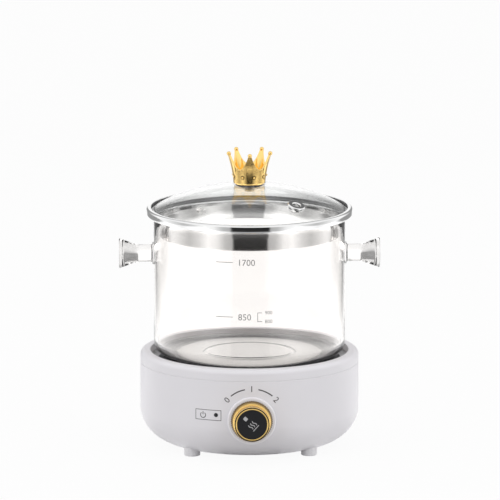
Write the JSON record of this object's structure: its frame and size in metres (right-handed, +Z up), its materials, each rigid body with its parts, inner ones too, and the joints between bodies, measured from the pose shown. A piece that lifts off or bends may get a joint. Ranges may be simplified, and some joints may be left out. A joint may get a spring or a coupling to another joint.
{
  "type": "electric glass pot on a heating base",
  "caption": "Clear straight glass pot with trumpet handles on a round white electric heating base, with a domed glass lid, steel band, crown knob and gold heat selector.",
  "frame": {"origin": "point on the table plane under the axis of the base, pot and lid", "axes": "+Z up along the axis of the pot, the control knob faces -Y and the handles lie along X"},
  "size_m": [0.218, 0.2152, 0.2494],
  "materials": {
    "clear_glass": "clear, fire polished",
    "band_steel": "polished stainless sheet",
    "gold_plate": "polished gold plating",
    "white_plastic": "satin moulded",
    "black_plastic": "satin moulded",
    "dark_enamel": "dark enamel on pressed steel",
    "plate_aluminium": "cast, turned top",
    "dark_silicone": "matt silicone",
    "zinc_steel": "zinc plated",
    "sheath_steel": "annealed tube",
    "contact_brass": "stamped",
    "brown_bakelite": "moulded phenolic",
    "ivory_ceramic": "unglazed",
    "foot_rubber": "pale soft rubber",
    "lamp_tint": "dark clear lens"
  },
  "bodies": {
    "base": {"housing": "white_plastic", "top_collar": "white_plastic", "drip_tray": "dark_enamel", "heating_plate": "plate_aluminium", "plate_seal": "dark_silicone", "heating_element": "sheath_steel", "heat_shield": "zinc_steel", "plate_spacers": "zinc_steel", "plate_bolts": "zinc_steel", "thermostat": "brown_bakelite", "thermal_fuse": "ivory_ceramic", "fuse_clip": "zinc_steel", "plate_screws": "zinc_steel", "rotary_switch": "black_plastic", "switch_terminals": "contact_brass", "switch_nut": "zinc_steel", "knob_bezel": "white_plastic", "lamp_lens": "lamp_tint", "lamp_holder": "black_plastic", "terminal_block": "ivory_ceramic", "terminal_screws": "contact_brass", "cord_gland": "white_plastic", "gland_nut": "black_plastic", "bottom_cover": "white_plastic", "cover_screws": "zinc_steel", "feet": "foot_rubber"},
    "knob": {"switch_shaft": "zinc_steel", "knob_hub": "black_plastic", "knob_shell": "gold_plate", "knob_face": "black_plastic"},
    "pot": {"pot_glass": "clear_glass", "left_handle": "clear_glass", "right_handle": "clear_glass"},
    "lid": {"lid_glass": "clear_glass", "lid_band": "band_steel", "lid_gasket": "dark_silicone", "vent_eyelet": "band_steel", "crown_knob": "gold_plate", "crown_pad": "dark_silicone", "crown_washer": "zinc_steel", "crown_screw": "zinc_steel"}
  },
  "joints": [
    {"name": "knob_turn", "type": "hinge", "parent": "base", "child": "knob", "pos_m": [0, -0.1, 0.038], "axis": [0, 1, 0], "range_deg": [0, 96]},
    {"name": "pot_lift", "type": "slide", "parent": "base", "child": "pot", "axis": [0, 0, 1], "range_m": [0, 0.06]},
    {"name": "lid_lift", "type": "slide", "parent": "pot", "child": "lid", "axis": [0, 0, 1], "range_m": [0, 0.08]}
  ]
}
